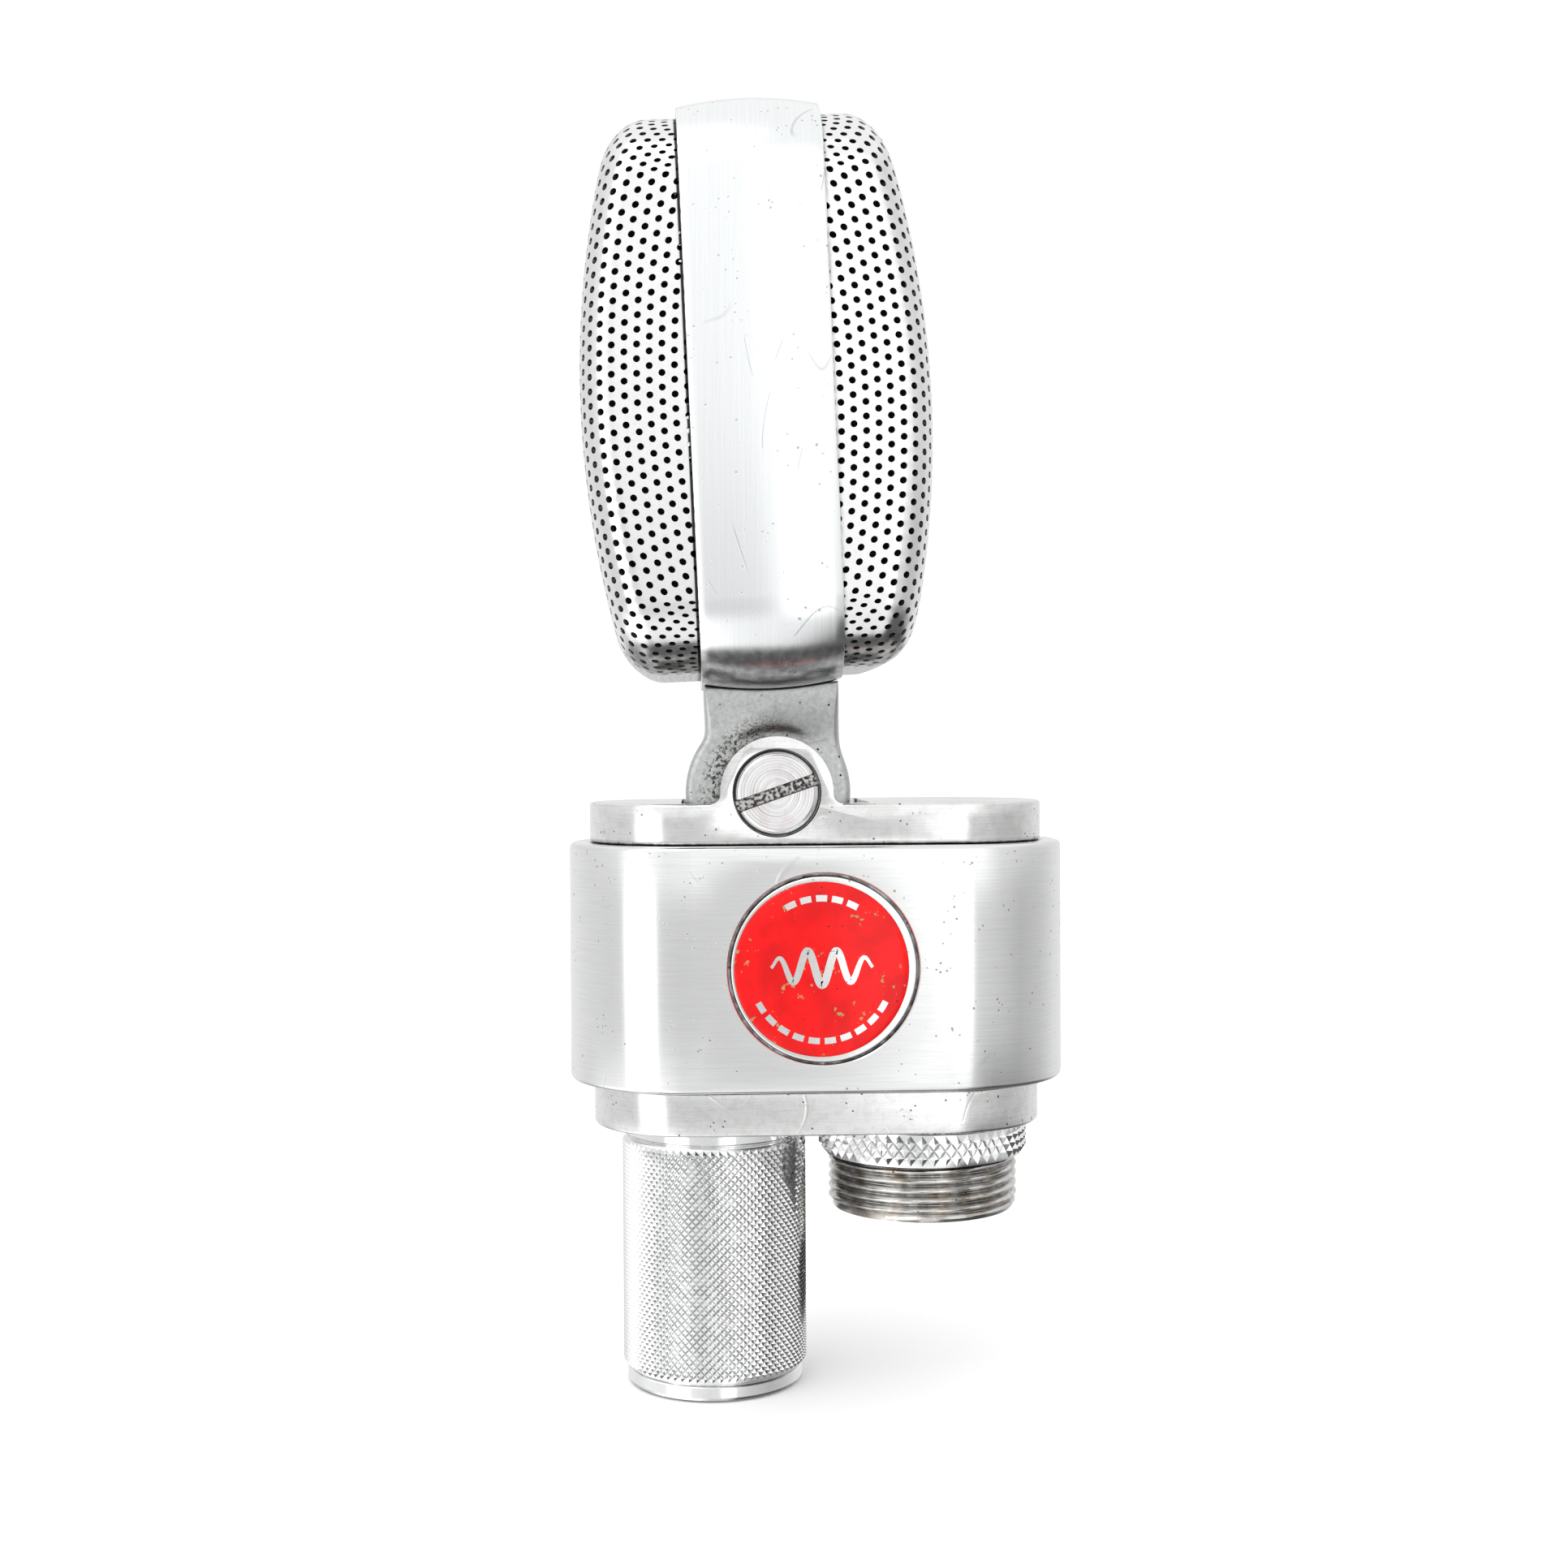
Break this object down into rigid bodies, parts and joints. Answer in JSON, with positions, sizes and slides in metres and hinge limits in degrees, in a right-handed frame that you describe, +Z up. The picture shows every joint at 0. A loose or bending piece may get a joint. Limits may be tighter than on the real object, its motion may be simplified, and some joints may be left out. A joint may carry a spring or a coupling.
{
  "type": "ribbon microphone",
  "caption": "Side-address ribbon microphone: pill-shaped perforated head on a tilting knuckle, transformer base with round badge, knurled stand sleeve and threaded output connector.",
  "frame": {"origin": "centre of the stand sleeve's lower mouth, where a stand's stud enters", "axes": "+Z up along the stand sleeve's axis, +X from the sleeve towards the output connector, -Y towards the badge side; the head's pivot axis runs along Y"},
  "size_m": [0.0656, 0.05, 0.166],
  "materials": {
    "satin_chrome": "satin plated, fine vertical brushing",
    "cast_grey": "matte cast and plated, pitted",
    "bright_steel": "turned and plated",
    "worn_brass": "plating worn through to brass",
    "red_enamel": "glossy red enamel",
    "black_cloth": "woven black wind screen cloth",
    "magnet_alloy": "ground magnet alloy",
    "soft_iron": "bare soft iron",
    "ribbon_foil": "bright corrugated foil",
    "paxolin": "brown laminated board",
    "copper_wire": "enamelled copper winding",
    "black_plastic": "black moulded insulation",
    "fibre": "red-brown fibre"
  },
  "bodies": {
    "base": {"block_housing": "satin_chrome", "top_plate": "satin_chrome", "bottom_plate": "satin_chrome", "badge_rim": "bright_steel", "pivot_nut": "bright_steel", "contact_pin_1": "bright_steel", "contact_pin_2": "bright_steel", "contact_pin_3": "bright_steel", "transformer_clamp": "bright_steel", "clamp_screw_left": "bright_steel", "clamp_screw_right": "bright_steel", "board_screw": "bright_steel", "housing_screw_front": "bright_steel", "housing_screw_rear": "bright_steel", "top_plate_screw_left": "bright_steel", "top_plate_screw_right": "bright_steel", "connector_shell": "worn_brass", "connector_nut": "worn_brass", "stand_spigot": "worn_brass", "spigot_nut": "worn_brass", "board_spacer": "worn_brass", "badge_disc": "red_enamel", "transformer_core": "soft_iron", "terminal_board": "paxolin", "transformer_bobbin": "paxolin", "transformer_winding": "copper_wire", "connector_insulator": "black_plastic", "output_lead_1": "black_plastic", "output_lead_2": "black_plastic", "friction_washer_front": "fibre", "friction_washer_rear": "fibre", "spigot_washer": "fibre"},
    "head": {"head_band": "satin_chrome", "left_grille": "satin_chrome", "right_grille": "satin_chrome", "left_screen": "black_cloth", "right_screen": "black_cloth", "yoke_frame": "soft_iron", "magnet_front": "magnet_alloy", "magnet_rear": "magnet_alloy", "pole_piece_front": "soft_iron", "pole_piece_rear": "soft_iron", "ribbon": "ribbon_foil", "upper_clamp_bar": "paxolin", "upper_clamp_plate": "worn_brass", "lower_clamp_bar": "paxolin", "lower_clamp_plate": "worn_brass", "upper_clamp_screw_front": "bright_steel", "upper_clamp_screw_rear": "bright_steel", "lower_clamp_screw_front": "bright_steel", "lower_clamp_screw_rear": "bright_steel", "motor_bracket": "cast_grey", "knuckle_screw_front": "bright_steel", "knuckle_screw_rear": "bright_steel", "knuckle": "cast_grey", "ribbon_lead": "black_plastic"},
    "pivot_screw": {"pivot_screw": "bright_steel"},
    "stand_sleeve": {"stand_sleeve": "bright_steel"},
    "lock_ring": {"lock_ring": "bright_steel"}
  },
  "joints": [
    {"name": "head_tilt", "type": "hinge", "parent": "base", "child": "head", "pos_m": [0.0081, 0, 0.0787], "axis": [0, 1, 0], "range_deg": [-36, 40]},
    {"name": "pivot_screw_turn", "type": "hinge", "parent": "base", "child": "pivot_screw", "pos_m": [0.0081, 0, 0.0787], "axis": [0, 1, 0], "range_deg": [-90, 180]},
    {"name": "sleeve_spin", "type": "hinge", "parent": "base", "child": "stand_sleeve", "pos_m": [0, 0, 0], "axis": [0, 0, 1], "continuous": true},
    {"name": "lock_ring_spin", "type": "hinge", "parent": "base", "child": "lock_ring", "pos_m": [0.0281, 0, 0.0323], "axis": [0, 0, 1], "continuous": true}
  ]
}
